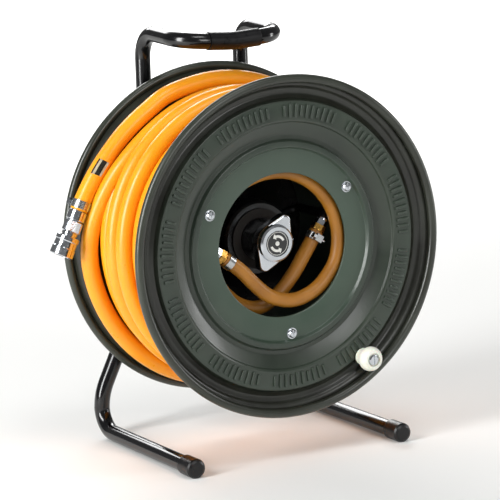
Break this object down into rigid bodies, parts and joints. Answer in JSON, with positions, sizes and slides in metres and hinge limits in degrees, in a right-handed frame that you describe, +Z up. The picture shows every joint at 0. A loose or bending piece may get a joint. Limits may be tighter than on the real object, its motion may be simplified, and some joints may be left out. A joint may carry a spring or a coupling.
{
  "type": "portable hose reel on a tube stand",
  "caption": "Free-standing hose reel: pressed flanged drum wound with hose on a bent tube stand with a carrying handle, winding knob, brake knob and quick coupler.",
  "frame": {"origin": "on the floor under the middle of the stand and drum outline, hose end not counted", "axes": "+Z up, the drum turns about Y, the open side with the brake knob faces -Y"},
  "size_m": [0.4089, 0.266, 0.4706],
  "materials": {
    "black_enamel": "gloss stove enamel on bent steel tube",
    "black_vinyl": "semi-gloss dipped vinyl",
    "zinc_plate": "bright zinc plate",
    "turned_steel": "turned",
    "brass": "machined",
    "olive_paint": "semi-gloss olive green paint on pressed steel",
    "black_paint": "semi-gloss black paint",
    "white_nylon": "moulded nylon",
    "black_rubber": "moulded",
    "chrome_plate": "polished chrome plate",
    "amber_hose": "smooth translucent amber hose",
    "stainless_band": "rolled stainless band",
    "brake_lining": "pressed fibre and rubber",
    "yellow_hose": "smooth extruded yellow-orange hose",
    "white_plastic": "moulded white plastic",
    "badge_plastic": "plain printed disc with no lettering"
  },
  "bodies": {
    "stand": {"frame_tube": "black_enamel", "foot_caps": "black_vinyl", "grip_sleeve": "black_vinyl", "axle_plate": "black_enamel", "plate_bolts": "zinc_plate", "plate_nuts": "zinc_plate", "axle": "turned_steel", "axle_circlip": "turned_steel", "axle_washer": "zinc_plate", "axle_nut": "zinc_plate", "inlet_nipple": "brass", "spacer_sleeve": "zinc_plate"},
    "drum": {"front_flange": "olive_paint", "rear_flange": "olive_paint", "barrel": "olive_paint", "hub_plate": "black_paint", "hub_housing": "black_paint", "front_bush": "white_nylon", "rear_bush": "white_nylon", "swivel_body": "brass", "swivel_o_rings": "black_rubber", "swivel_pipe": "black_paint", "swivel_hose_barb": "brass", "swivel_pipe_nut": "chrome_plate", "inner_hose": "amber_hose", "inner_hose_clamps": "stainless_band", "inner_clamp_screws": "chrome_plate", "core_hose_barb": "brass", "core_pipe_nut": "chrome_plate", "core_pipe": "black_paint", "core_bulkhead_nut": "brass", "tie_rods": "zinc_plate", "tie_screws_front": "chrome_plate", "tie_screws_rear": "chrome_plate", "tie_washers_front": "chrome_plate", "tie_washers_rear": "chrome_plate", "friction_disc": "brake_lining", "crank_bolt": "chrome_plate", "crank_nut": "zinc_plate", "crank_washer": "zinc_plate", "hose_coil": "yellow_hose", "hose_tail": "yellow_hose", "tail_clamp": "stainless_band", "tail_clamp_screw": "chrome_plate", "coupler_nut": "chrome_plate", "coupler_body": "chrome_plate", "coupler_balls": "turned_steel", "coupler_valve": "brass", "coupler_spring": "turned_steel"},
    "winding_knob": {"winding_knob": "white_plastic"},
    "brake_ring": {"pressure_ring": "chrome_plate"},
    "brake_knob": {"brake_knob": "chrome_plate", "knob_badge": "badge_plastic"},
    "coupler_sleeve": {"coupler_sleeve": "chrome_plate"}
  },
  "joints": [
    {"name": "drum_spin", "type": "hinge", "parent": "stand", "child": "drum", "pos_m": [0, -0.024, 0.237], "axis": [0, 1, 0], "continuous": true},
    {"name": "winding_knob_spin", "type": "hinge", "parent": "drum", "child": "winding_knob", "pos_m": [0.0919, -0.124, 0.10177], "axis": [0, 1, 0], "continuous": true},
    {"name": "brake_advance", "type": "slide", "parent": "stand", "child": "brake_ring", "axis": [0, -1, 0], "range_m": [0, 0.002]},
    {"name": "brake_turn", "type": "hinge", "parent": "brake_ring", "child": "brake_knob", "pos_m": [0, -0.069, 0.237], "axis": [0, -1, 0], "range_deg": [0, 360]},
    {"name": "sleeve_slide", "type": "slide", "parent": "drum", "child": "coupler_sleeve", "axis": [0.4517, 0, 0.8922], "range_m": [0, 0.004], "stiffness_N_per_m": 1500, "springref_m": -0.002}
  ],
  "couplings": [
    {"joint": "brake_advance", "follows": "brake_turn", "m_per_rad": 0.000318}
  ]
}
